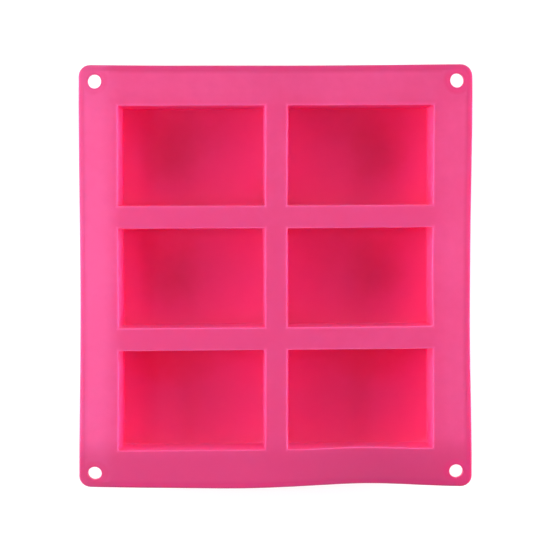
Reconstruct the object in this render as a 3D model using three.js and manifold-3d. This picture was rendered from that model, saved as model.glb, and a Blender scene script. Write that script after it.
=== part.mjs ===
// Six-cavity soap bar mould in flexible silicone rubber.
//
// The real mould is one moulding. It is described here region by region: the
// flat deck with its six windows and four hanging holes, the six cavity cups
// that hang below it, the thickened strips along its rim and the thickened
// pads round its hanging holes. The regions meet face to face and never move
// against each other except by bending the rubber.
//
// Millimetres. +Z is up, the cavities open upwards, and the cup undersides
// stand on z = 0. The origin is midway between the two columns of cavities,
// under the middle row. +X runs to the right across the two columns, +Y runs
// to the back along the three rows.

import * as THREE from "three";
import { mergeVertices } from "three/addons/utils/BufferGeometryUtils.js";
import Module from "manifold-3d";

// ---------------------------------------------------------------- dimensions

const MOULD_WIDTH = 213.5; // overall, X
const MOULD_LENGTH = 229; // overall, Y
const MOULD_HEIGHT = 26.5; // overall, Z
const DECK_THICKNESS = 2; // flange and webs
const DECK_CORNER_RADIUS = 6; // plan radius of the four outer corners
const DECK_EDGE_RADIUS = 0.6; // rounding of the outer top edge

const CAVITY_WIDTH = 80; // opening at the top face, X
const CAVITY_LENGTH = 55; // opening at the top face, Y
const CAVITY_DEPTH = 25;
const CAVITY_DRAFT = 0.8; // each wall leans in by this much over the depth
const CAVITY_CORNER_RADIUS = 1; // upright inner corners
const CAVITY_FLOOR_RADIUS = 1.5; // inner edge between wall and floor
const COLUMN_PITCH = 92; // cavity centre to centre, X
const ROW_PITCH = 66.5; // cavity centre to centre, Y

const CUP_WALL = 1.8;
const CUP_BASE_RADIUS = 2.5; // outer edge between wall and underside

const HOLE_DIAMETER = 7.5; // hanging holes
const HOLE_INSET = 8.25; // hole centre from both outer edges
const EYELET_DIAMETER = 13.5; // thickened ring round a hanging hole
const RIM_BEAD_WIDTH = 3;
const RIM_BEAD_DROP = 1.5; // how far the bead hangs below the deck
const EYELET_REACH = 16; // length of rim taken up by each corner pad

const DECK_UNDERSIDE = MOULD_HEIGHT - DECK_THICKNESS;
const FLOOR_TOP = MOULD_HEIGHT - CAVITY_DEPTH;
const BEAD_UNDERSIDE = DECK_UNDERSIDE - RIM_BEAD_DROP;
const HALF_X = MOULD_WIDTH / 2;
const HALF_Y = MOULD_LENGTH / 2;

// ------------------------------------------------------------------- solids

const wasm = await Module();
wasm.setup();

// A closed geometry as a solid that can be joined and cut.
function solid(geometry) {
  const bare = geometry.clone();
  bare.deleteAttribute("normal");
  bare.deleteAttribute("uv");
  const merged = mergeVertices(bare, 1e-4);
  return new wasm.Manifold(
    new wasm.Mesh({
      numProp: 3,
      vertProperties: new Float32Array(merged.attributes.position.array),
      triVerts: new Uint32Array(merged.index.array),
    }),
  );
}

// A solid back as a geometry, with flat facets.
function geometryOf(body) {
  const mesh = body.getMesh();
  const position = new Float32Array(mesh.numVert * 3);
  for (let i = 0; i < mesh.numVert; i++)
    for (let k = 0; k < 3; k++)
      position[3 * i + k] = mesh.vertProperties[mesh.numProp * i + k];
  const indexed = new THREE.BufferGeometry();
  indexed.setAttribute("position", new THREE.BufferAttribute(position, 3));
  indexed.setIndex(new THREE.BufferAttribute(new Uint32Array(mesh.triVerts), 1));
  const flat = indexed.toNonIndexed();
  flat.computeVertexNormals();
  return flat;
}

// Outline of a rectangle with round corners, centred on the origin.
function roundedRectangle(width, length, radius) {
  const x = width / 2;
  const y = length / 2;
  const shape = new THREE.Shape();
  shape.moveTo(x, -y + radius);
  shape.lineTo(x, y - radius);
  shape.absarc(x - radius, y - radius, radius, 0, Math.PI / 2, false);
  shape.lineTo(-x + radius, y);
  shape.absarc(-x + radius, y - radius, radius, Math.PI / 2, Math.PI, false);
  shape.lineTo(-x, -y + radius);
  shape.absarc(-x + radius, -y + radius, radius, Math.PI, 1.5 * Math.PI, false);
  shape.lineTo(x - radius, -y);
  shape.absarc(x - radius, -y + radius, radius, 1.5 * Math.PI, 2 * Math.PI, false);
  return shape;
}

// A rounded rectangle carried up through a list of levels. Each level gives
// its height and how far every side has moved in by then, so drafted walls
// and rounded edges are both lists of levels.
function block(width, length, radius, segments, levels) {
  const steps = levels.length - 1;
  const geometry = new THREE.ExtrudeGeometry(
    roundedRectangle(width, length, radius),
    { depth: steps, steps, bevelEnabled: false, curveSegments: segments },
  );
  const at = geometry.attributes.position;
  for (let i = 0; i < at.count; i++) {
    const { z, inset } = levels[Math.round(at.getZ(i))];
    const x = at.getX(i);
    const y = at.getY(i);
    at.setXYZ(i, x - Math.sign(x) * inset, y - Math.sign(y) * inset, z);
  }
  return geometry;
}

// Levels of a quarter round of the given radius where a wall meets a face
// lying at height z, with the wall above it.
function roundFrom(z, radius, count, lean) {
  const levels = [];
  for (let i = 0; i <= count; i++) {
    const a = (i / count) * (Math.PI / 2);
    const rise = radius * (1 - Math.cos(a));
    levels.push({
      z: z + rise,
      inset: lean(z + rise) + radius * (1 - Math.sin(a)),
    });
  }
  return levels;
}

// How far a cavity wall has leant in at height z.
const draftAt = (z) => (CAVITY_DRAFT * (MOULD_HEIGHT - z)) / CAVITY_DEPTH;

// The space inside one cavity, open well above the top face.
const CLEAR_ABOVE = 4;
const cavitySpace = () =>
  block(CAVITY_WIDTH, CAVITY_LENGTH, CAVITY_CORNER_RADIUS, 3, [
    ...roundFrom(FLOOR_TOP, CAVITY_FLOOR_RADIUS, 3, draftAt),
    { z: MOULD_HEIGHT + CLEAR_ABOVE, inset: draftAt(MOULD_HEIGHT + CLEAR_ABOVE) },
  ]);

// One cup up to the underside of the deck, still solid.
const cupBlank = () =>
  block(
    CAVITY_WIDTH + 2 * CUP_WALL,
    CAVITY_LENGTH + 2 * CUP_WALL,
    CAVITY_CORNER_RADIUS + CUP_WALL,
    5,
    [
      ...roundFrom(0, CUP_BASE_RADIUS, 4, draftAt),
      { z: DECK_UNDERSIDE, inset: draftAt(DECK_UNDERSIDE) },
    ],
  );

const columns = [
  { name: "left", x: -COLUMN_PITCH / 2 },
  { name: "right", x: COLUMN_PITCH / 2 },
];
const rows = [
  { name: "back", y: ROW_PITCH },
  { name: "middle", y: 0 },
  { name: "front", y: -ROW_PITCH },
];
const corners = [
  { name: "back_left", sx: -1, sy: 1 },
  { name: "back_right", sx: 1, sy: 1 },
  { name: "front_left", sx: -1, sy: -1 },
  { name: "front_right", sx: 1, sy: -1 },
];

// A round bar for cutting one hanging hole, through everything at its corner.
function holeBar({ sx, sy }) {
  const bar = new THREE.CylinderGeometry(
    HOLE_DIAMETER / 2,
    HOLE_DIAMETER / 2,
    MOULD_HEIGHT + 2 * CLEAR_ABOVE,
    32,
    1,
  );
  bar.rotateX(Math.PI / 2);
  bar.translate(
    sx * (HALF_X - HOLE_INSET),
    sy * (HALF_Y - HOLE_INSET),
    MOULD_HEIGHT / 2,
  );
  return bar;
}

// -------------------------------------------------------------------- pieces

// Flange and webs: one plate, its outer top edge rounded, with a drafted
// window over each cavity and a hanging hole in each corner.
function topDeck() {
  const top = roundFrom(0, DECK_EDGE_RADIUS, 3, () => 0)
    .map(({ z, inset }) => ({ z: MOULD_HEIGHT - z, inset }))
    .reverse();
  let deck = solid(
    block(MOULD_WIDTH, MOULD_LENGTH, DECK_CORNER_RADIUS, 8, [
      { z: DECK_UNDERSIDE, inset: 0 },
      ...top,
    ]),
  );
  for (const { x } of columns)
    for (const { y } of rows)
      deck = deck.subtract(solid(cavitySpace().translate(x, y, 0)));
  for (const corner of corners) deck = deck.subtract(solid(holeBar(corner)));
  return geometryOf(deck);
}

// One cavity below the deck: four leaning walls and a floor.
function cavityCup() {
  return geometryOf(solid(cupBlank()).subtract(solid(cavitySpace())));
}

// A straight run of the thickened rim, between two corner pads.
function rimBead(width, length) {
  const bead = new THREE.BoxGeometry(width, length, RIM_BEAD_DROP);
  return geometryOf(solid(bead));
}

// The thickened corner: a ring round the hanging hole, run into the rim bead
// on both sides.
function cornerEyelet(corner) {
  const { sx, sy } = corner;
  const depth = RIM_BEAD_DROP;
  const plate = solid(
    block(MOULD_WIDTH, MOULD_LENGTH, DECK_CORNER_RADIUS, 8, [
      { z: BEAD_UNDERSIDE, inset: 0 },
      { z: DECK_UNDERSIDE, inset: 0 },
    ]),
  );
  const inside = solid(
    block(
      MOULD_WIDTH - 2 * RIM_BEAD_WIDTH,
      MOULD_LENGTH - 2 * RIM_BEAD_WIDTH,
      DECK_CORNER_RADIUS - RIM_BEAD_WIDTH,
      8,
      [
        { z: BEAD_UNDERSIDE - 1, inset: 0 },
        { z: DECK_UNDERSIDE + 1, inset: 0 },
      ],
    ),
  );
  const keep = new THREE.BoxGeometry(EYELET_REACH, EYELET_REACH, depth + 4);
  keep.translate(
    sx * (HALF_X - EYELET_REACH / 2),
    sy * (HALF_Y - EYELET_REACH / 2),
    BEAD_UNDERSIDE + depth / 2,
  );
  const ring = new THREE.CylinderGeometry(
    EYELET_DIAMETER / 2,
    EYELET_DIAMETER / 2,
    depth,
    40,
    1,
  );
  ring.rotateX(Math.PI / 2);
  ring.translate(
    sx * (HALF_X - HOLE_INSET),
    sy * (HALF_Y - HOLE_INSET),
    BEAD_UNDERSIDE + depth / 2,
  );
  return geometryOf(
    plate
      .subtract(inside)
      .intersect(solid(keep))
      .add(solid(ring))
      .subtract(solid(holeBar(corner))),
  );
}

// ------------------------------------------------------------------ assembly

const silicone = (name, colour, roughness) =>
  new THREE.MeshStandardMaterial({ name, color: colour, roughness, metalness: 0 });
const deckSilicone = silicone("silicone_deck", 0xe8508a, 0.55);
const cupSilicone = silicone("silicone_cup", 0xe2325f, 0.5);
const rimSilicone = silicone("silicone_rim", 0xde3f7c, 0.55);

const mould = new THREE.Group();
mould.name = "soap_mould";

function piece(name, geometry, material, parent = mould) {
  const mesh = new THREE.Mesh(geometry, material);
  mesh.name = name;
  parent.add(mesh);
  return mesh;
}

piece("top_deck", topDeck(), deckSilicone);

const cups = new THREE.Group();
cups.name = "cavity_cups";
mould.add(cups);
for (const row of rows)
  for (const column of columns)
    piece(
      `cavity_cup_${row.name}_${column.name}`,
      cavityCup(),
      cupSilicone,
      cups,
    ).position.set(column.x, row.y, 0);

const rim = new THREE.Group();
rim.name = "rim";
mould.add(rim);
const sideRun = MOULD_LENGTH - 2 * EYELET_REACH;
const endRun = MOULD_WIDTH - 2 * EYELET_REACH;
const beadX = HALF_X - RIM_BEAD_WIDTH / 2;
const beadY = HALF_Y - RIM_BEAD_WIDTH / 2;
const beadZ = BEAD_UNDERSIDE + RIM_BEAD_DROP / 2;
piece("rim_bead_left", rimBead(RIM_BEAD_WIDTH, sideRun), rimSilicone, rim).position.set(-beadX, 0, beadZ);
piece("rim_bead_right", rimBead(RIM_BEAD_WIDTH, sideRun), rimSilicone, rim).position.set(beadX, 0, beadZ);
piece("rim_bead_front", rimBead(endRun, RIM_BEAD_WIDTH), rimSilicone, rim).position.set(0, -beadY, beadZ);
piece("rim_bead_back", rimBead(endRun, RIM_BEAD_WIDTH), rimSilicone, rim).position.set(0, beadY, beadZ);
for (const corner of corners)
  piece(`corner_eyelet_${corner.name}`, cornerEyelet(corner), rimSilicone, rim);

export default mould;
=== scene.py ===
import math

import bmesh
import bpy
import numpy as np
from mathutils import Matrix, Vector
from numpy.polynomial import legendre


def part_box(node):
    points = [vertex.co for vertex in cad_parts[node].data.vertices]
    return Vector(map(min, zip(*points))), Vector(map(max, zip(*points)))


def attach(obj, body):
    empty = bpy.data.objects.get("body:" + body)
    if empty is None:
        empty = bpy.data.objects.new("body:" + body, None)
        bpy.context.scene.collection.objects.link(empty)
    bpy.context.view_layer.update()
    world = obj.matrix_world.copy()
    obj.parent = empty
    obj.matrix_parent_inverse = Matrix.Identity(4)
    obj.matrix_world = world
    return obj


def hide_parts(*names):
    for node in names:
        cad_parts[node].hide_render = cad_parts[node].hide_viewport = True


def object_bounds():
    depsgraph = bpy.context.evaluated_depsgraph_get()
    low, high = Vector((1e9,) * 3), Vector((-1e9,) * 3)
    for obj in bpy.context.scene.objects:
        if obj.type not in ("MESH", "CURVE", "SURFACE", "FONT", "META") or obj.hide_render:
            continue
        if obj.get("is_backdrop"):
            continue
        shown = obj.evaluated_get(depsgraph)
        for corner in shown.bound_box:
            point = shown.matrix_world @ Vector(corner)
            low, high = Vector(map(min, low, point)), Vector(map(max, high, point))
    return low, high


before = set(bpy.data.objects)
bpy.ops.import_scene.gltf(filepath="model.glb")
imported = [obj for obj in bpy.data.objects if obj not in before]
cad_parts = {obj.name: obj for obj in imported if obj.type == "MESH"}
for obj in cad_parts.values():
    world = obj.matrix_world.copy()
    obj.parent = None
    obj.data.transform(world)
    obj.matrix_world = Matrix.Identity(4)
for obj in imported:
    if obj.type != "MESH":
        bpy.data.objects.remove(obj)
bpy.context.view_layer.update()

MM = 0.001

# ------------------------------------------------------------------ dimensions
# The deck, cups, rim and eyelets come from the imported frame. The skin is made
# in millimetres round them.


def node_box(name):
    lo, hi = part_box(name)
    return np.array(lo) / MM, np.array(hi) / MM


deck_lo, deck_hi = node_box("top_deck")
HX, HY = float(deck_hi[0]), float(deck_hi[1])  # half width and half length
TOP = float(deck_hi[2])  # top face
UNDER = float(deck_lo[2])  # underside of flange and webs
DROP = float(UNDER - node_box("rim_bead_left")[0][2])  # depth of the rim bead
BEAD = UNDER - DROP

COLUMNS = []
ROWS = []
for side in ("left", "right"):
    lo, hi = node_box("cavity_cup_middle_" + side)
    COLUMNS.append(float(lo[0] + hi[0]) / 2)
for row in ("front", "middle", "back"):
    lo, hi = node_box("cavity_cup_" + row + "_left")
    ROWS.append(float(lo[1] + hi[1]) / 2)
CUP_LO, CUP_HI = node_box("cavity_cup_middle_left")

WALL = 1.8  # cup wall
DRAFT = 0.8 / 25.0  # lean of every cavity wall, per millimetre of depth
FLOOR = TOP - 25.0  # top of the cavity floor
HALF_W = float(CUP_HI[0] - CUP_LO[0]) / 2 - WALL + DRAFT * (TOP - UNDER)
HALF_L = float(CUP_HI[1] - CUP_LO[1]) / 2 - WALL + DRAFT * (TOP - UNDER)
CORNER_R = 6.0  # outer corners
HOLE_R = 3.6
HOLE_INSET = 8.25
BOSS_R = 6.75

# Roundings that the rubber has everywhere.
EDGE_R = 0.85  # outer edge, top and bottom
LIP_R = 0.4  # rim of each cavity
CAVITY_CORNER = 0.9  # upright inner corners
FLOOR_R = 0.7  # floor to wall, inside
CUP_CORNER = CAVITY_CORNER + WALL
ROOT_R = 1.5  # cup wall to flange, underneath
BASE_R = 2.5  # cup wall to underside
HOLE_EDGE_R = 0.35

# Mesh layout.
FRAME_OFF = 4.0  # square frame of faces round each opening
K = 6  # faces round each corner
STEP = 0.9  # spacing of the frame's lines next to its corners
NX, NY = 34, 24  # faces along a cavity's straight sides
N_WEB = 2
N_FLANGE = 8
INNER = 3.0  # the rim strip's inner line, from the outer edge

# ------------------------------------------------------------------ mesh store

verts = []
quads = []
region = []  # what each point belongs to
DECK, CAVITY, CUP = 0, 1, 2
making = DECK


def add(points):
    first = len(verts)
    verts.extend(points)
    region.extend([making] * len(points))
    return list(range(first, first + len(points)))


def loft(a, b, closed=True, flip=False):
    n = len(a)
    for i in range(n if closed else n - 1):
        j = (i + 1) % n
        q = (a[i], a[j], b[j], b[i])
        quads.append(q[::-1] if flip else q)


# ------------------------------------------------------------- rings of points


def spread(e, n):
    return [e * (-1 + 2 * i / n) for i in range(n + 1)]


def round_ring(cx, cy, a, b, r, z):
    """A rounded rectangle, anticlockwise from above, starting at its right side's lower end."""
    pts = []
    xs, ys = spread(a - r, NX), spread(b - r, NY)
    arcs = [(a - r, b - r, 0.0), (-a + r, b - r, 0.5), (-a + r, -b + r, 1.0), (a - r, -b + r, 1.5)]
    sides = [
        [(a, y) for y in ys],
        [(x, b) for x in reversed(xs)],
        [(-a, y) for y in reversed(ys)],
        [(x, -b) for x in xs],
    ]
    for side, (ox, oy, start) in zip(sides, arcs):
        pts += side
        for i in range(1, K):
            t = (start + 0.5 * i / K) * math.pi
            pts.append((ox + r * math.cos(t), oy + r * math.sin(t)))
    return [(cx + x, cy + y, z) for x, y in pts]


def square_ring(cx, cy, a, b, step, z):
    """The same points on a plain rectangle, with its corners K faces apart."""
    h = K // 2
    xs, ys = spread(a - h * step, NX), spread(b - h * step, NY)
    pts = []
    sides = [
        ([(a, y) for y in ys], (a, b), (0, 1), (-1, 0)),
        ([(x, b) for x in reversed(xs)], (-a, b), (-1, 0), (0, -1)),
        ([(-a, y) for y in reversed(ys)], (-a, -b), (0, -1), (1, 0)),
        ([(x, -b) for x in xs], (a, -b), (1, 0), (0, 1)),
    ]
    for side, (px, py), (ux, uy), (vx, vy) in sides:
        pts += side
        for i in range(1, h):
            d = (h - i) * step
            pts.append((px - ux * d, py - uy * d))
        pts.append((px, py))
        for i in range(1, h):
            d = i * step
            pts.append((px + vx * d, py + vy * d))
    return [(cx + x, cy + y, z) for x, y in pts]


def mixed(p, q, t):
    return [tuple(a + (b - a) * t for a, b in zip(u, v)) for u, v in zip(p, q)]


def side_lines(a, step, n):
    """Line positions across a square frame of half size a."""
    h = K // 2
    outer = [-a + i * step for i in range(h)]
    return outer + spread(a - h * step, n) + [-v for v in reversed(outer)]


def fill_square(cx, cy, a, b, step, z, flip):
    """The grid of faces inside a square ring."""
    xs, ys = side_lines(a, step, NX), side_lines(b, step, NY)
    rows_ = [add([(cx + x, cy + y, z) for x in xs]) for y in ys]
    for lower, upper in zip(rows_, rows_[1:]):
        loft(lower, upper, closed=False, flip=flip)


# -------------------------------------------------------------------- cavities

A, B = HALF_W + FRAME_OFF, HALF_L + FRAME_OFF


def quarter(n):
    return [math.pi / 2 * i / n for i in range(n + 1)]


def opening(z):
    """Half width and half length of a cavity at height z. The rubber closes in a little along Y at the rim, so those walls lean less."""
    return HALF_W - DRAFT * (TOP - z), HALF_L - 0.35 - 0.4 * DRAFT * (TOP - z)


def cavity(cx, cy):
    """The inside: lip, drafted walls, rounded floor edge and floor."""
    rings = []
    w_top, l_top = opening(TOP)
    outer = square_ring(cx, cy, A, B, STEP, TOP)
    start = LIP_R + 0.3
    near = round_ring(cx, cy, w_top + start, l_top + start, CAVITY_CORNER + start, TOP)
    rings += [outer] + [mixed(outer, near, t) for t in (0.25, 0.5, 0.75)] + [near]
    for t in quarter(6):
        off = LIP_R * (1 - math.sin(t))
        z = TOP - LIP_R * (1 - math.cos(t))
        w, l = opening(z)
        rings.append(round_ring(cx, cy, w + off, l + off, CAVITY_CORNER + off, z))
    top_z, low_z = TOP - LIP_R, FLOOR + FLOOR_R
    levels = [top_z - 0.35] + [top_z - 0.35 + (low_z + 0.35 - top_z + 0.35) * i / 9 for i in range(1, 10)]
    for z in levels:
        rings.append(round_ring(cx, cy, *opening(z), CAVITY_CORNER, z))
    for t in quarter(6):
        z = FLOOR + FLOOR_R * (1 - math.sin(t))
        w, l = (v - FLOOR_R * (1 - math.cos(t)) for v in opening(z))
        rings.append(round_ring(cx, cy, w, l, CAVITY_CORNER, z))
    w, l = (v - FLOOR_R for v in opening(FLOOR))
    rings.append(round_ring(cx, cy, w - 0.4, l - 0.4, CAVITY_CORNER, FLOOR))
    a2, b2 = w - 2.6, l - 2.6
    inner = square_ring(cx, cy, a2, b2, 0.8, FLOOR)
    rings += [mixed(rings[-1], inner, 0.5), inner]
    ids = [add(r) for r in rings]
    for p, q in zip(ids, ids[1:]):
        loft(p, q)
    fill_square(cx, cy, a2, b2, 0.8, FLOOR, flip=False)


def cup(cx, cy):
    """The outside: root fillet, leaning wall, rounded base edge and underside."""
    rings = []
    outer = square_ring(cx, cy, A, B, STEP, UNDER)
    rings.append(outer)

    def wall(z):
        return WALL - DRAFT * (TOP - z)

    w = wall(UNDER)
    start = w + ROOT_R + 0.25
    rings.append(round_ring(cx, cy, HALF_W + start, HALF_L + start, CUP_CORNER + ROOT_R + 0.25, UNDER))
    for t in quarter(6):
        z = UNDER - ROOT_R * (1 - math.cos(t))
        off = wall(z) + ROOT_R * (1 - math.sin(t))
        rings.append(round_ring(cx, cy, HALF_W + off, HALF_L + off, CUP_CORNER + ROOT_R * (1 - math.sin(t)), z))
    top_z, low_z = UNDER - ROOT_R - 0.35, BASE_R + 0.35
    for i in range(9):
        z = top_z + (low_z - top_z) * i / 8
        rings.append(round_ring(cx, cy, HALF_W + wall(z), HALF_L + wall(z), CUP_CORNER, z))
    for t in quarter(7):
        z = BASE_R * (1 - math.sin(t))
        off = wall(z) - BASE_R * (1 - math.cos(t))
        rings.append(round_ring(cx, cy, HALF_W + off, HALF_L + off, CUP_CORNER, z))
    off = wall(0) - BASE_R
    rings.append(round_ring(cx, cy, HALF_W + off - 0.4, HALF_L + off - 0.4, CUP_CORNER, 0.0))
    a2, b2 = HALF_W + off - 3.6, HALF_L + off - 3.6
    inner = square_ring(cx, cy, a2, b2, 0.9, 0.0)
    rings += [mixed(rings[-1], inner, 0.5), inner]
    ids = [add(r) for r in rings]
    for p, q in zip(ids, ids[1:]):
        loft(p, q, flip=True)
    fill_square(cx, cy, a2, b2, 0.9, 0.0, flip=True)


for cx in COLUMNS:
    for cy in ROWS:
        making = CAVITY
        cavity(cx, cy)
        making = CUP
        cup(cx, cy)
making = DECK

# --------------------------------------------------------- rim bead and eyelets


def edge_distance(x, y):
    """How far inside the outer edge a point lies, round the round corners too."""
    qx, qy = abs(x) - (HX - CORNER_R), abs(y) - (HY - CORNER_R)
    if qx > 0 and qy > 0:
        return CORNER_R - math.hypot(qx, qy)
    return min(HX - abs(x), HY - abs(y))


def ease(t):
    t = min(1.0, max(0.0, t))
    return t * t * (3 - 2 * t)


def under_z(x, y):
    """Underside of the flange: lower under the rim bead and round each hole."""
    bead = 1 - ease((edge_distance(x, y) - 2.15) / 0.85)
    r = math.hypot(abs(x) - (HX - HOLE_INSET), abs(y) - (HY - HOLE_INSET))
    boss = 1 - ease((r - (BOSS_R - 0.7)) / 0.85)
    return UNDER - DROP * max(bead, boss)


def groove(x, y):
    """A faint sink line on the top face over the inner edge of the bead and round each hole's ring."""
    d = edge_distance(x, y)
    r = math.hypot(abs(x) - (HX - HOLE_INSET), abs(y) - (HY - HOLE_INSET))
    line = math.exp(-(((d - 2.75) / 0.42) ** 2)) if r > BOSS_R - 0.6 else 0.0
    ring = math.exp(-(((r - (BOSS_R - 0.2)) / 0.45) ** 2)) if d > 2.6 else 0.0
    return 0.06 * max(line, 0.5 * ring)


# Flat flange and web blocks, top and underside.


def block_lines(centres, half, n, edge, count):
    """Line positions for every block along one axis: flange, cavity, web, cavity, ... flange."""
    blocks = []
    lows = [c - half for c in centres]
    highs = [c + half for c in centres]
    first = [-edge + (lows[0] + edge) * i / count for i in range(count + 1)]
    blocks.append(("flange", first))
    for i, c in enumerate(centres):
        blocks.append(("cavity", [c + v for v in side_lines(half, STEP, n)]))
        if i + 1 < len(centres):
            a, b = highs[i], lows[i + 1]
            blocks.append(("web", [a + (b - a) * k / N_WEB for k in range(N_WEB + 1)]))
    blocks.append(("flange", [-v for v in reversed(first)]))
    return blocks


x_blocks = block_lines(COLUMNS, A, NX, HX - INNER, N_FLANGE)
y_blocks = block_lines(ROWS, B, NY, HY - INNER, N_FLANGE)


def plate(level, flip):
    for kx, xs in x_blocks:
        for ky, ys in y_blocks:
            if kx == "cavity" and ky == "cavity":
                continue
            if kx == "flange" and ky == "flange":
                continue
            rows_ = [add([(x, y, level(x, y)) for x in xs]) for y in ys]
            for lower, upper in zip(rows_, rows_[1:]):
                loft(lower, upper, closed=False, flip=flip)


plate(lambda x, y: TOP - groove(x, y), flip=False)
plate(under_z, flip=True)

# Rim strip: every point on it is a base point, an outward direction and a
# distance in from the edge.


def corner_run(sx, sy):
    """The outer boundary of one corner patch, anticlockwise, as (base point, direction)."""
    ax, ay = HX - CORNER_R, HY - CORNER_R
    lx, ly = abs(x_blocks[0][1][-1]), abs(y_blocks[0][1][-1])
    run = [((ax, ly + (ay - ly) * i / 5), (1.0, 0.0)) for i in range(5)]
    for i in range(7):
        t = math.pi / 2 * i / 6
        run.append(((ax, ay), (math.cos(t), math.sin(t))))
    run += [((ax + (lx - ax) * i / 5, ay), (0.0, 1.0)) for i in range(1, 6)]
    run = [((sx * p[0], sy * p[1]), (sx * d[0], sy * d[1])) for p, d in run]
    return run if sx * sy > 0 else run[::-1]


def straight_run(values, fixed, axis, sign):
    out = []
    for v in values:
        if axis == "x":
            out.append(((v, sign * fixed), (0.0, float(sign))))
        else:
            out.append(((sign * fixed, v), (float(sign), 0.0)))
    return out


def joined(blocks):
    values = []
    for _, line in blocks[1:-1]:
        values += line if not values else line[1:]
    return values


along_x, along_y = joined(x_blocks), joined(y_blocks)
perimeter = []
perimeter += straight_run(along_y, HX - CORNER_R, "y", 1)[:-1]
perimeter += corner_run(1, 1)[:-1]
perimeter += straight_run(along_x[::-1], HY - CORNER_R, "x", 1)[:-1]
perimeter += corner_run(-1, 1)[:-1]
perimeter += straight_run(along_y[::-1], HX - CORNER_R, "y", -1)[:-1]
perimeter += corner_run(-1, -1)[:-1]
perimeter += straight_run(along_x, HY - CORNER_R, "x", -1)[:-1]
perimeter += corner_run(1, -1)[:-1]


def strip_ring(u, z):
    pts = []
    for (px, py), (dx, dy) in perimeter:
        x, y = px + dx * (CORNER_R - u), py + dy * (CORNER_R - u)
        pts.append((x, y, z(x, y) if callable(z) else z))
    return pts


def top_z(x, y):
    return TOP - groove(x, y)


strip = [strip_ring(u, top_z) for u in (INNER, 2.75, 2.45, 2.1, 1.6)]
strip.append(strip_ring(EDGE_R + 0.3, TOP))
for t in quarter(6):
    strip.append(strip_ring(EDGE_R * (1 - math.sin(t)), TOP - EDGE_R * (1 - math.cos(t))))
strip.append(strip_ring(0.0, (TOP + BEAD) / 2))
for t in reversed(quarter(6)):
    strip.append(strip_ring(EDGE_R * (1 - math.sin(t)), BEAD + EDGE_R * (1 - math.cos(t))))
strip.append(strip_ring(EDGE_R + 0.3, BEAD))
strip += [strip_ring(u, under_z) for u in (1.6, 2.15, 2.35, 2.55, 2.75, INNER)]
strip_ids = [add(r) for r in strip]
for p, q in zip(strip_ids, strip_ids[1:]):
    loft(p, q, flip=True)

# Corner patches: polar rings from the hole out to the square round it.


def patch_boundary(sx, sy):
    """Anticlockwise loop of the patch: its outer run at the strip's inner line, then the two lines it shares with the flange blocks."""
    run = corner_run(sx, sy)
    loop = [(p[0] + d[0] * (CORNER_R - INNER), p[1] + d[1] * (CORNER_R - INNER)) for p, d in run]
    fx = [v if sx > 0 else -v for v in (abs(t) for t in x_blocks[0][1])]
    fy = [v if sy > 0 else -v for v in (abs(t) for t in y_blocks[0][1])]
    lx, ly = fx[-1], fy[-1]
    # from the run's last point back to its first, through the inner corner
    if sx * sy > 0:
        back = [(lx, y) for y in fy[1:]] + [(x, ly) for x in fx[-2:0:-1]]
    else:
        back = [(x, ly) for x in fx[1:]] + [(lx, y) for y in fy[-2:0:-1]]
    return loop + back


def ray_to(loop, cx, cy, angle):
    dx, dy = math.cos(angle), math.sin(angle)
    best = None
    for (x0, y0), (x1, y1) in zip(loop, loop[1:] + loop[:1]):
        ex, ey = x1 - x0, y1 - y0
        det = dx * -ey + dy * ex
        if abs(det) < 1e-12:
            continue
        rx, ry = x0 - cx, y0 - cy
        t = (rx * -ey + ry * ex) / det
        s = (dx * ry - dy * rx) / det
        if t > 0 and -1e-9 <= s <= 1 + 1e-9 and (best is None or t < best):
            best = t
    return best


RADII = [4.55, 5.0, 5.5, 5.85, 6.05, 6.2, 6.35, 6.5, 6.65, 6.8, 6.95, 7.3, 7.9, 8.8, 10.0, 11.5]


def corner_patch(sx, sy):
    cx, cy = sx * (HX - HOLE_INSET), sy * (HY - HOLE_INSET)
    loop = patch_boundary(sx, sy)
    n = len(loop)
    ang = np.unwrap([math.atan2(y - cy, x - cx) for x, y in loop])
    base = float(np.mean(ang - 2 * math.pi * np.arange(n) / n))
    uniform = base + 2 * math.pi * np.arange(n) / n
    start = HOLE_R + HOLE_EDGE_R
    plan = [[(cx + start * math.cos(a), cy + start * math.sin(a)) for a in uniform]]
    steps = len(RADII)
    for k, rho in enumerate(RADII):
        w = ((k + 1) / (steps + 1)) ** 1.5
        ring = []
        for i in range(n):
            phi = uniform[i] + (ang[i] - uniform[i]) * w
            reach = ray_to(loop, cx, cy, phi)
            r = min(rho, start + (reach - start) * (k + 1) / (steps + 1))
            ring.append((cx + r * math.cos(phi), cy + r * math.sin(phi)))
        plan.append(ring)
    plan.append(loop)

    def hole_ring(r, z):
        return [(cx + r * math.cos(a), cy + r * math.sin(a), z) for a in uniform]

    rings = [[(x, y, top_z(x, y)) for x, y in ring] for ring in reversed(plan)]
    for t in quarter(5)[1:]:
        rings.append(hole_ring(HOLE_R + HOLE_EDGE_R * (1 - math.sin(t)), TOP - HOLE_EDGE_R * (1 - math.cos(t))))
    rings.append(hole_ring(HOLE_R, (TOP + BEAD) / 2))
    for t in reversed(quarter(5)):
        rings.append(hole_ring(HOLE_R + HOLE_EDGE_R * (1 - math.sin(t)), BEAD + HOLE_EDGE_R * (1 - math.cos(t))))
    rings += [[(x, y, under_z(x, y)) for x, y in ring] for ring in plan[1:]]
    ids = [add(r) for r in rings]
    for p, q in zip(ids, ids[1:]):
        loft(p, q)


for sx in (-1, 1):
    for sy in (-1, 1):
        corner_patch(sx, sy)

# ------------------------------------------------------------- how it really lies
# Rubber never lies dead flat: the front flange is pulled down and back in one
# soft wave, the long sides pull in a little, the whole skin is pulled a little
# sideways, and the flange, webs and upper walls are not perfectly plane.

co = np.array(verts, float)


def bump_at(v, centre, left, right):
    d = v - centre
    return np.exp(-((d / np.where(d < 0, left, right)) ** 2))


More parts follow.
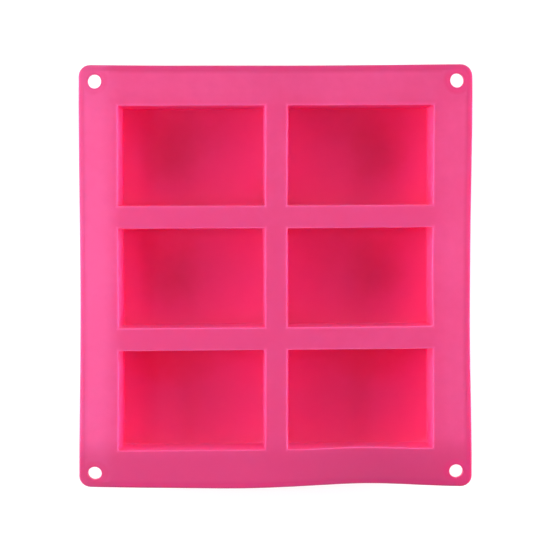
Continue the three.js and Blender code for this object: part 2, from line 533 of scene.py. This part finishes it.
# How far the rubber is pulled sideways over the whole mould, in millimetres, as
# smooth series in X and Y.
PULL_X = [
    [0.193, 0.083, 0.081, 0.054, -0.04, -0.095],
    [-0.316, -0.124, 0.217, -0.102, -0.142, 0],
    [-0.245, -0.065, -0.022, 0.023, 0, 0],
    [0.454, -0.082, -0.124, 0, 0, 0],
    [0.084, 0.076, 0, 0, 0, 0],
    [0.124, 0, 0, 0, 0, 0],
]
PULL_Y = [
    [-0.59, -0.002, -0.008, 0.273, 0.333, -0.063],
    [0.4, -0.19, -0.264, 0.204, -0.262, 0],
    [0.146, -0.105, 0.035, -0.059, 0, 0],
    [-0.018, 0.03, -0.071, 0, 0, 0],
    [0.095, -0.092, 0, 0, 0, 0],
    [-0.063, 0, 0, 0, 0, 0],
]


def relax(p):
    x, y, z = p[:, 0].copy(), p[:, 1].copy(), p[:, 2].copy()
    q = p.copy()
    # how much of a point's height is flange and upper wall
    high = np.clip((z - 8.0) / 16.0, 0, 1) ** 1.5
    # front flange: one dip to the right of the middle and a slight lift left of it
    out = np.clip((-y - 94.0) / 20.5, 0, 1)
    dip = bump_at(x, 50.0, 34.0, 40.0)
    lift = bump_at(x, -20.0, 30.0, 26.0)
    q[:, 2] -= 6.8 * dip * out ** 1.35
    q[:, 2] += 1.6 * lift * out ** 1.5
    q[:, 1] += 1.15 * dip * out ** 1.2
    q[:, 1] -= 0.25 * lift * out
    # the front wall under that dip leans in with it
    wall = bump_at(y, -94.0, 9.0, 9.0) * high
    q[:, 1] += 1.15 * bump_at(x, 48.0, 24.0, 24.0) * wall
    q[:, 2] -= 0.35 * bump_at(x, 48.0, 24.0, 24.0) * wall
    # long sides pull in a little at the middle
    side = np.clip((np.abs(x) - 88.0) / 18.75, 0, 1)
    q[:, 0] -= np.sign(x) * 0.75 * side * np.cos(np.clip(y / 114.5, -1, 1) * math.pi / 2) ** 1.5
    # more on the right, a little towards the front
    q[:, 0] -= 0.46 * np.clip((x - 88.0) / 18.75, 0, 1) * bump_at(y, -38.0, 40.0, 40.0)
    # the back edge swells out towards its right end, and the front edge likewise
    back = np.clip((y - 100.0) / 14.5, 0, 1)
    q[:, 1] += 0.8 * back * np.clip(x / 97.5, 0, 1.05) ** 1.7
    q[:, 1] += 0.2 * back * np.clip((-x - 60.0) / 33.0, 0, 1)
    q[:, 1] -= out * (0.12 + 0.12 * np.clip((x - 10.0) / 30.0, 0, 1) + 0.26 * np.clip((x - 60.0) / 38.0, 0, 1))
    # three of the corner holes sit a little off their place, as the rubber was trimmed and pulled
    for hx, hy, dx, dy in ((-98.5, 106.25, 0.35, -0.22), (98.5, -106.25, -0.2, 0.15), (-98.5, -106.25, 0.0, -0.3)):
        near = np.exp(-(((x - hx) ** 2 + (y - hy) ** 2) / 49.0)) * (z > 20.0)
        q[:, 0] += dx * near
        q[:, 1] += dy * near
    u, v = np.clip(x / HX, -1, 1), np.clip(y / HY, -1, 1)
    q[:, 0] += legendre.legval2d(u, v, np.array(PULL_X))
    q[:, 1] += legendre.legval2d(u, v, np.array(PULL_Y))
    # the middle right cavity's outer rim leans in
    q[:, 0] -= 0.4 * np.exp(-(((x - 85.0) / 9.0) ** 2) - (((y - 2.0) / 22.0) ** 2)) * np.clip((z - 15.0) / 10.0, 0, 1)
    # slow unevenness of the flange and webs
    q[:, 2] += high * (
        0.22 * np.sin(x / 41.0 + 0.7) * np.cos(y / 53.0 - 0.4)
        + 0.12 * np.sin(x / 19.0 - 1.1) * np.sin(y / 23.0 + 0.5)
    )
    return q


def step(t):
    t = np.clip(t, 0, 1)
    return t * t * (3 - 2 * t)


def paint_light_and_shade(p):
    """Two values for each point: painted light and shade, which the material turns into base colour.
    Through: how much of the light from below and beside that comes into the rubber is painted into its colour. Most at
    each cavity's thin rim, as a painted highlight along the lip, and in the left flange, which the light from the left
    makes paler; plenty in the rest of the flange and the webs, less in the thick bead and rings, less and less down
    each cup's walls, with a painted value of its own at the foot of each wall, and least in a painted dark patch in
    each floor, with paler painted light near the foot of the walls.
    Shade: a painted shade factor, 1, a little under it in the sink line, along the outermost edge, round each hole, in
    the front flange and on the inner side of each floor, and a little over it as painted light towards each floor's
    outer side and back."""
    x, y, z = p[:, 0], p[:, 1], p[:, 2]
    ax, ay = np.abs(x), np.abs(y)
    qx, qy = ax - (HX - CORNER_R), ay - (HY - CORNER_R)
    d = np.where((qx > 0) & (qy > 0), CORNER_R - np.hypot(qx, qy), np.minimum(HX - ax, HY - ay))
    d = np.maximum(d, 0)
    r = np.hypot(ax - (HX - HOLE_INSET), ay - (HY - HOLE_INSET))

    # each point's own cavity, and where it is in it
    cx = np.where(x < 0, COLUMNS[0], COLUMNS[1])
    cy = np.array(ROWS)[np.argmin(np.abs(y[:, None] - np.array(ROWS)[None, :]), axis=1)]
    w, l = opening(TOP)
    away = np.maximum(np.abs(x - cx) - w, np.abs(y - cy) - l)
    # painted highlight: each cavity's rim is painted paler, standing in for the bright line along its rounded lip
    lip = np.exp(-(((away - 0.1) / 0.5) ** 2)) * np.clip((z - (TOP - 1.0)) / 0.6, 0, 1)

    # deck, rim and eyelets
    # painted light and shade on the deck: the left flange is painted paler for the light from the left, the front
    # flange deeper and darker and the back a little darker as painted shade, and the flange paler than the webs for
    # painted light from below
    left, right = step((-x - 82.0) / 14.0), step((x - 82.0) / 14.0)
    front, back = step((-y - 86.0) / 14.0), step((y - 90.0) / 12.0)
    flange = np.maximum(np.maximum(left, right), np.maximum(front, back))
    # the thick bead and rings are painted deeper, as less of the painted light from below comes into them
    thick = np.maximum(1 - step((d - 2.4) / 1.2), 1 - step((r - (BOSS_R - 0.9)) / 2.0))
    # painted shade along the outermost edge, with a paler painted hue there
    edge = np.exp(-((d / 0.6) ** 2))
    # painted shade in a ring round each hole
    painted_hole_shade = np.exp(-((np.maximum(r - HOLE_R - 0.2, 0) / 0.6) ** 2))
    # painted shade along the sink line
    sink = np.exp(-(((d - 2.8) / 0.4) ** 2)) * (r > BOSS_R)
    # painted light in the deck's colour, made paler or deeper by the masks above
    deck = 0.735 + 0.105 * flange + 0.16 * left - 0.14 * front - (0.2 - 0.12 * left) * thick + 0.3 * edge + 0.22 * lip
    # the bead's ends at the front and back, and the outermost edge there, get more painted shade
    ends = step((ay - (HY - 4.0)) / 2.0)
    # painted shade of the deck: front, back, sink line, bead ends, outermost edge and round each hole
    deck_shade = (1 - 0.095 * front) * (1 - 0.03 * back) * (1 - 0.06 * sink) * (1 - 0.07 * ends * thick) * (1 - (0.18 + 0.14 * ends) * edge) * (1 - 0.12 * painted_hole_shade)

    # inside a cavity
    depth = np.clip((TOP - z) / (TOP - FLOOR), 0, 1)
    wf, lf = opening(FLOOR)
    u, v = (x - cx), (y - cy)
    on_wall = np.stack([np.abs(-u - w), np.abs(u - w), np.abs(-v - l), np.abs(v - l)])
    # painted light and shade on the walls: each wall's foot gets its own painted value by the side it faces, and each
    # wall pales upwards to the deck's value
    foot = np.array([0.34, 0.62, 0.68, 0.05])[np.argmin(on_wall, axis=0)]  # left, right, front, back wall
    wall = foot + (deck - foot) * (1 - depth) ** 1.3
    to_left, to_right, to_front = u + wf, wf - u, v + lf
    nearest = cy < -30.0  # the front row gets painted light and shade of its own, with its painted dark patch further back
    painted_dark_patch = np.exp(-(((ax - 60.0) / np.where(nearest, 24.0, 14.0)) ** 2) - (((v - np.where(nearest, 16.0, 1.0)) / np.where(nearest, 15.0, 26.0)) ** 2))
    # painted light near the foot of the front, right and left walls, and a painted dark patch in the middle of each
    # floor
    floor = 0.22 - 0.20 * painted_dark_patch + 0.45 * np.exp(-to_front / 8.0) + 0.20 * np.exp(-np.maximum(to_right, 0) / 6.0) + 0.15 * np.exp(-np.maximum(to_left, 0) / 5.0)
    floor = floor + nearest * (0.10 - 0.16 * np.clip(v / 26.0, 0, 1))
    inside = np.where(depth > 0.965, floor, wall)
    # raises the value where the painted light pales the hue, so that the red stays even
    evened = np.interp(inside, [0.22, 0.75], [1.0, 1.19]) ** np.clip(depth / 0.3, 0, 1)
    # painted light towards each floor's outer side and back, more in the front rows, and painted shade on its inner
    # side and in the dark patch of the middle and back rows
    outward = np.clip((ax - COLUMNS[1]) / 38.0, -1, 1)
    backward = np.clip(v / 26.0, 0, 1) * np.clip((66.5 - cy) / 133.0, 0, 1)
    cavity_shade = evened * (1 + (0.07 * outward + 0.12 * backward - 0.12 * painted_dark_patch * np.clip(1 - v / 26.0, 0, 1) * ~nearest) * np.clip(depth / 0.6, 0, 1))
    # the deck's painted shade carries over the rim into the top of the walls
    cavity_shade = cavity_shade * deck_shade ** np.clip(1 - depth / 0.15, 0, 1)

    # outside of a cup
    # painted light through each cup's outer wall, less and less towards its bottom
    outside = 0.75 * (1 - 0.9 * np.clip((UNDER - z) / UNDER, 0, 1))

    kind = np.array(region)
    kind = np.where((kind == CAVITY) & (away > 0.3), DECK, kind)
    kind = np.where((kind == CUP) & (z > UNDER - 0.01), DECK, kind)
    through = np.where(kind == DECK, deck, np.where(kind == CAVITY, inside, outside))
    shade = np.where(kind == DECK, deck_shade, np.where(kind == CAVITY, cavity_shade, 1.0))
    return np.clip(through, 0, 1), shade


# painted light and shade for every point, worked out before the rubber is relaxed
through, shade = paint_light_and_shade(co)
co = relax(co)

mesh = bpy.data.meshes.new("silicone_moulding")
mesh.from_pydata([tuple(v) for v in (co * MM)], [], quads)
# the painted light and painted shade go onto the mesh for the material
for name, values in (("through", through), ("shade", shade)):
    layer = mesh.attributes.new(name, "FLOAT", "POINT")
    layer.data.foreach_set("value", values.astype(np.float32))
bm = bmesh.new()
bm.from_mesh(mesh)
bmesh.ops.remove_doubles(bm, verts=bm.verts, dist=2e-6)
bmesh.ops.recalc_face_normals(bm, faces=bm.faces)
open_edges = sum(1 for e in bm.edges if len(e.link_faces) != 2)
print("skin", len(bm.verts), "verts", len(bm.faces), "faces", open_edges, "edges not shared by two faces", "volume cm3", round(bm.calc_volume() * 1e6, 2))
for f in bm.faces:
    f.smooth = True
bm.to_mesh(mesh)
bm.free()
skin = bpy.data.objects.new("silicone_moulding", mesh)
bpy.context.scene.collection.objects.link(skin)

# -------------------------------------------------------------------- materials

# Base colours along the painted light in the rubber, least lit to most lit.
DARK = (0.84, 0.022, 0.18)  # the least painted light, in each floor's painted dark patch
DEEP = (0.855, 0.0405, 0.248)  # the floors, which lie on the table
PALE = (0.73, 0.070, 0.242)  # the thin webs
PALEST = (0.785, 0.115, 0.335)  # thin edges with light behind them
ROUGH = 0.45


def silicone():
    """Translucent pink silicone: a satin skin over random-walk subsurface, with painted light and shade in its base
    colour from the mesh's two values, paler where painted light comes into thin rubber, with slow mottling, uneven
    gloss and a fine grain.
    """
    mat = bpy.data.materials.new("pink_silicone")
    mat.use_nodes = True
    nt = mat.node_tree
    nt.nodes.clear()

    def node(kind, x, y, **values):
        n = nt.nodes.new(kind)
        n.location = (x, y)
        for key, value in values.items():
            setattr(n, key, value)
        return n

    def link(a, b):
        nt.links.new(a, b)

    def noise(x, y, scale, detail, rough=0.5):
        n = node("ShaderNodeTexNoise", x, y)
        n.inputs["Scale"].default_value = scale
        n.inputs["Detail"].default_value = detail
        n.inputs["Roughness"].default_value = rough
        link(coords.outputs["Object"], n.inputs["Vector"])
        return n.outputs["Fac"]

    def spread_to(source, x, y, low, high, span=0.5):
        """Maps the middle span of a noise to low..high."""
        n = node("ShaderNodeMapRange", x, y)
        n.inputs["From Min"].default_value = 0.5 - span / 2
        n.inputs["From Max"].default_value = 0.5 + span / 2
        n.inputs["To Min"].default_value = low
        n.inputs["To Max"].default_value = high
        link(source, n.inputs["Value"])
        return n.outputs["Result"]

    def math_node(op, x, y, a, b):
        n = node("ShaderNodeMath", x, y, operation=op)
        for socket, value in ((n.inputs[0], a), (n.inputs[1], b)):
            if isinstance(value, (int, float)):
                socket.default_value = value
            else:
                link(value, socket)
        return n.outputs["Value"]

    out = node("ShaderNodeOutputMaterial", 900, 0)
    bsdf = node("ShaderNodeBsdfPrincipled", 600, 0)
    link(bsdf.outputs["BSDF"], out.inputs["Surface"])
    coords = node("ShaderNodeTexCoord", -1400, 0)
    # the painted light and painted shade stored on the mesh
    through_fac = node("ShaderNodeAttribute", -1400, 300, attribute_name="through").outputs["Fac"]
    shade_fac = node("ShaderNodeAttribute", -1400, 500, attribute_name="shade").outputs["Fac"]

    mottling = noise(-1200, 200, 21.0, 2.5)  # 50 mm patches
    cloud = noise(-1200, 0, 150.0, 3.0)  # 7 mm clouding
    tint = math_node("ADD", -700, 300, through_fac, spread_to(mottling, -950, 200, -0.04, 0.04))
    tint = math_node("ADD", -550, 300, tint, spread_to(cloud, -950, 0, -0.025, 0.025))

    ramp = node("ShaderNodeValToRGB", -350, 300)
    ramp.color_ramp.interpolation = "LINEAR"
    stops = ramp.color_ramp.elements
    stops[0].position, stops[0].color = 0.0, (*DARK, 1)
    stops[1].position, stops[1].color = 1.0, (*PALEST, 1)
    for position, colour in ((0.22, DEEP), (0.75, PALE)):
        stops.new(position).color = (*colour, 1)
    link(tint, ramp.inputs["Fac"])
    value = math_node("MULTIPLY", -350, 60, spread_to(mottling, -550, 120, 0.985, 1.015), spread_to(cloud, -550, -60, 0.99, 1.01))
    # painted shade and light scale the base colour
    value = math_node("MULTIPLY", -180, 60, value, shade_fac)
    tone = node("ShaderNodeVectorMath", 0, 200, operation="SCALE")
    link(ramp.outputs["Color"], tone.inputs[0])
    link(value, tone.inputs["Scale"])
    link(tone.outputs["Vector"], bsdf.inputs["Base Color"])

    gloss = noise(-1200, -250, 60.0, 4.0, 0.6)
    link(spread_to(gloss, -950, -250, ROUGH - 0.05, ROUGH + 0.05), bsdf.inputs["Roughness"])

    grain = noise(-1200, -500, 620.0, 2.0, 0.6)  # 1.6 mm satin grain
    wave = noise(-1200, -700, 55.0, 2.0)  # 18 mm unevenness
    bump = node("ShaderNodeBump", 100, -500)
    bump.inputs["Strength"].default_value = 1.0
    bump.inputs["Distance"].default_value = 0.000012
    link(grain, bump.inputs["Height"])
    swell = node("ShaderNodeBump", 320, -500)
    swell.inputs["Strength"].default_value = 1.0
    swell.inputs["Distance"].default_value = 0.00012
    link(wave, swell.inputs["Height"])
    link(bump.outputs["Normal"], swell.inputs["Normal"])
    link(swell.outputs["Normal"], bsdf.inputs["Normal"])

    bsdf.inputs["IOR"].default_value = 1.41
    bsdf.subsurface_method = "RANDOM_WALK"
    bsdf.inputs["Subsurface Weight"].default_value = 1.0
    bsdf.inputs["Subsurface Radius"].default_value = (2.0, 0.8, 0.8)
    bsdf.inputs["Subsurface Scale"].default_value = 0.001
    return mat


skin.data.materials.append(silicone())

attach(skin, "root")
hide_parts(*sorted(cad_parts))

# ----------------------------------------------------------------------- stage

floor_mesh = bpy.data.meshes.new("studio_floor")
R = 4.0
floor_mesh.from_pydata([(-R, -R, -0.0003), (R, -R, -0.0003), (R, R, -0.0003), (-R, R, -0.0003)], [], [(0, 1, 2, 3)])
floor = bpy.data.objects.new("studio_floor", floor_mesh)
bpy.context.scene.collection.objects.link(floor)
fm = bpy.data.materials.new("studio_floor")
fm.use_nodes = True
fb = fm.node_tree.nodes["Principled BSDF"]
fb.inputs["Base Color"].default_value = (0.45, 0.45, 0.45, 1)
fb.inputs["Roughness"].default_value = 0.9
fb.inputs["Emission Color"].default_value = (1, 1, 1, 1)  # a lit table
# it glows a little more beyond the lights, so that it stays as pale out to the horizon
fn = fm.node_tree
where = fn.nodes.new("ShaderNodeTexCoord")
far = fn.nodes.new("ShaderNodeVectorMath")
far.operation = "LENGTH"
glow = fn.nodes.new("ShaderNodeMapRange")
glow.interpolation_type = "SMOOTHSTEP"
for key, value in (("From Min", 1.1), ("From Max", 1.9), ("To Min", 0.69), ("To Max", 1.0)):
    glow.inputs[key].default_value = value
fn.links.new(where.outputs["Object"], far.inputs[0])
fn.links.new(far.outputs["Value"], glow.inputs["Value"])
fn.links.new(glow.outputs["Result"], fb.inputs["Emission Strength"])
floor.data.materials.append(fm)
floor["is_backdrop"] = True

world = bpy.data.worlds.new("studio")
bpy.context.scene.world = world
world.use_nodes = True
# White along the horizon, and dark overhead, where the softboxes do the work.
wn = world.node_tree
backdrop = wn.nodes["Background"]
backdrop.inputs["Color"].default_value = (1, 1, 1, 1)
direction = wn.nodes.new("ShaderNodeTexCoord")
split = wn.nodes.new("ShaderNodeSeparateXYZ")
band = wn.nodes.new("ShaderNodeMapRange")
band.interpolation_type = "SMOOTHSTEP"
for key, value in (("From Min", 0.15), ("From Max", 0.32), ("To Min", 1.0), ("To Max", 0.0)):
    band.inputs[key].default_value = value
wn.links.new(direction.outputs["Generated"], split.inputs["Vector"])
wn.links.new(split.outputs["Z"], band.inputs["Value"])
wn.links.new(band.outputs["Result"], backdrop.inputs["Strength"])


def area(name, location, target, size, power):
    data = bpy.data.lights.new(name, "AREA")
    data.shape = "RECTANGLE"
    data.size, data.size_y = size
    data.energy = power
    data.color = (1, 1, 1)
    light = bpy.data.objects.new(name, data)
    light.location = location
    light.rotation_mode = "QUATERNION"
    light.rotation_quaternion = (Vector(target) - Vector(location)).to_track_quat("-Z", "Y")
    light.visible_camera = False
    light.visible_glossy = not name.startswith("strip")  # seen almost edge on, the deck would mirror the low strips
    bpy.context.scene.collection.objects.link(light)
    return light


def around(name, azimuth, elevation, distance, size, power):
    """A square softbox aimed at the object's middle. Azimuth 0 is the right side, 90 the back."""
    a, e = math.radians(azimuth), math.radians(elevation)
    place = [distance * v for v in (math.cos(a) * math.cos(e), math.sin(a) * math.cos(e), math.sin(e))]
    return area(name, place, (0, 0, 0), (size, size), power)


around("strip_right", 0, 15, 1.3, 0.7, 23.6)
around("strip_left", 180, 15, 1.3, 0.7, 16.4)
around("strip_back", 90, 15, 1.3, 0.7, 4.8)
around("softbox_back", 90, 42, 1.3, 0.7, 4.3)
around("softbox_left", 180, 43, 1.3, 0.7, 3.5)
around("softbox_top", 90, 88, 1.3, 0.7, 0.4)
around("fill_front_left", 225, 30, 1.3, 0.7, 1.4)
around("fill_front_right", 315, 30, 1.3, 0.7, 1.5)
around("near_right", 0, 30, 0.35, 0.2, 0.126)
around("near_left", 180, 30, 0.35, 0.2, 0.27)

# ---------------------------------------------------------------------- camera

cam_data = bpy.data.cameras.new("camera")
cam = bpy.data.objects.new("camera", cam_data)
bpy.context.scene.collection.objects.link(cam)
TARGET = Vector((-0.00010, 0.00070, TOP * MM))
DISTANCE = 0.8986
LEAN_X, LEAN_Y = -0.0110, 0.0350  # the view comes very slightly from the left and from the back
ROLL = -0.0016
cam_data.sensor_width = 36.0
cam_data.sensor_fit = "HORIZONTAL"
cam_data.lens = 108.05
cam_data.clip_start, cam_data.clip_end = 0.05, 50
towards = Vector((math.sin(LEAN_X), math.sin(LEAN_Y), 0))
towards.z = math.sqrt(1 - towards.x**2 - towards.y**2)
cam.location = TARGET + towards * DISTANCE
side_axis = Vector((-math.sin(ROLL), math.cos(ROLL), 0)).cross(towards).normalized()
up_axis = towards.cross(side_axis)
cam.rotation_mode = "QUATERNION"
cam.rotation_quaternion = Matrix((side_axis, up_axis, towards)).transposed().to_quaternion()
bpy.context.scene.camera = cam

scene = bpy.context.scene
scene.view_settings.view_transform = "Standard"
scene.view_settings.look = "None"
scene.view_settings.exposure = 0.0
scene.view_settings.gamma = 1.0

lo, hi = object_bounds()
